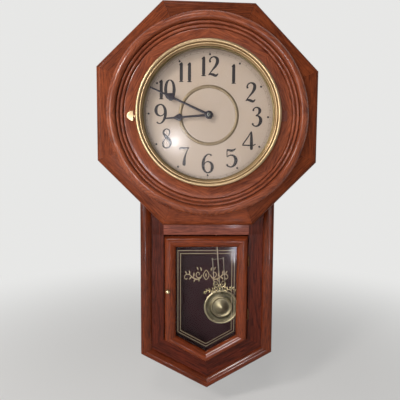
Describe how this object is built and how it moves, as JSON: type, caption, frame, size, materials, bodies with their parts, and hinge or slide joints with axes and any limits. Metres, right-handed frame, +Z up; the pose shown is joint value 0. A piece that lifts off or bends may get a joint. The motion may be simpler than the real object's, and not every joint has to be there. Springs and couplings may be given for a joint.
{
  "type": "pendulum wall clock",
  "caption": "Octagonal wall clock with a hinged glazed bezel over its dial and a glazed drop-box door, behind which a pendulum swings.",
  "frame": {"origin": "middle of the keyhole's round hole, on the plane of the case's back", "axes": "+Z up, +Y into the wall, so the dial faces -Y; +X to the viewer's right"},
  "size_m": [0.386, 0.1225, 0.6995],
  "materials": {
    "head_wood": "satin",
    "ring_wood": "semi-gloss",
    "case_wood": "semi-gloss",
    "moulding_wood": "semi-gloss",
    "door_wood": "semi-gloss",
    "board": "matt",
    "steel": "plain",
    "dial_cream": "satin enamel, black numerals",
    "brass": "polished",
    "bob_steel": "plain",
    "glass": "clear",
    "door_glass": "clear with a gilt border",
    "hand_blue": "blued",
    "hand_nut": "plain",
    "black_plastic": "matt",
    "white_plastic": "moulded",
    "magnet": "plated",
    "copper": "enamelled wire",
    "circuit": "solder mask",
    "battery": null
  },
  "bodies": {
    "case": {"back_board": "board", "battery": "battery", "battery_contacts": "steel", "bezel_hinge_case_leaf": "brass", "bezel_hinge_pin": "brass", "case_foot_boards": "case_wood", "case_sides": "case_wood", "case_top": "case_wood", "centre_nut": "brass", "circuit_board": "circuit", "dial_board": "board", "dial_centre_ring": "brass", "dial_plate": "dial_cream", "dial_screws": "steel", "door_catch_body": "black_plastic", "door_catch_magnet": "magnet", "door_hinge_case_leaves": "brass", "door_hinge_pins": "brass", "foot_mouldings": "moulding_wood", "hanger_plate": "steel", "hanger_screws": "steel", "head_octagon": "head_wood", "head_ring": "ring_wood", "movement_back_case": "black_plastic", "movement_front_case": "black_plastic", "panel_foot_rails": "case_wood", "panel_stiles": "case_wood", "panel_top_rail": "case_wood", "pendulum_drive_coil": "copper", "pendulum_pivot_pin": "black_plastic", "stepper_coil": "copper", "stepper_stator": "steel", "trunk_mouldings": "moulding_wood"},
    "door": {"door_foot_rails": "door_wood", "door_glass": "door_glass", "door_glass_beads": "door_wood", "door_hinge_door_leaves": "brass", "door_knob": "brass", "door_stiles": "door_wood", "door_strike_plate": "steel", "door_top_rail": "door_wood"},
    "bezel": {"bezel_glass": "glass", "bezel_hinge_own_leaf": "brass", "bezel_ring": "brass", "bezel_sight_ring": "brass", "bezel_tab": "brass"},
    "pendulum": {"bob_back": "bob_steel", "bob_front": "brass", "pendulum_hanger": "white_plastic", "pendulum_lyre": "brass", "pendulum_magnet": "magnet", "pendulum_rods": "brass"},
    "minute_hand": {"hand_cap_nut": "hand_nut", "minute_arbor": "white_plastic", "minute_hand": "hand_blue"},
    "hour_hand": {"hour_hand": "hand_blue", "hour_wheel": "white_plastic"},
    "motion_wheel": {"motion_wheel": "white_plastic"},
    "set_knob": {"set_knob": "black_plastic"},
    "stepper_rotor": {"stepper_rotor": "magnet"}
  },
  "joints": [
    {"name": "door_hinge", "type": "hinge", "parent": "case", "child": "door", "pos_m": [0.077, -0.072, -0.415], "axis": [0, 0, 1], "range_deg": [0, 100]},
    {"name": "bezel_hinge", "type": "hinge", "parent": "case", "child": "bezel", "pos_m": [0.127, -0.108, -0.1], "axis": [0, 0, 1], "range_deg": [0, 110]},
    {"name": "pendulum_swing", "type": "hinge", "parent": "case", "child": "pendulum", "pos_m": [0, -0.045, -0.088], "axis": [0, 1, 0], "range_deg": [-0.7, 9.3]},
    {"name": "minute_hand_turn", "type": "hinge", "parent": "case", "child": "minute_hand", "pos_m": [0, -0.1, -0.1], "axis": [0, 1, 0], "continuous": true},
    {"name": "hour_hand_turn", "type": "hinge", "parent": "case", "child": "hour_hand", "pos_m": [0, -0.095, -0.1], "axis": [0, 1, 0], "continuous": true},
    {"name": "motion_wheel_turn", "type": "hinge", "parent": "case", "child": "motion_wheel", "pos_m": [-0.00707, -0.082, -0.10707], "axis": [0, 1, 0], "continuous": true},
    {"name": "set_knob_turn", "type": "hinge", "parent": "case", "child": "set_knob", "pos_m": [-0.01414, -0.07, -0.11414], "axis": [0, 1, 0], "continuous": true},
    {"name": "stepper_rotor_turn", "type": "hinge", "parent": "case", "child": "stepper_rotor", "pos_m": [-0.024, -0.085, -0.083], "axis": [0, 1, 0], "continuous": true}
  ],
  "couplings": [
    {"joint": "hour_hand_turn", "follows": "minute_hand_turn", "ratio": 0.083333},
    {"joint": "motion_wheel_turn", "follows": "minute_hand_turn", "ratio": -0.33333},
    {"joint": "set_knob_turn", "follows": "minute_hand_turn", "ratio": 1}
  ]
}
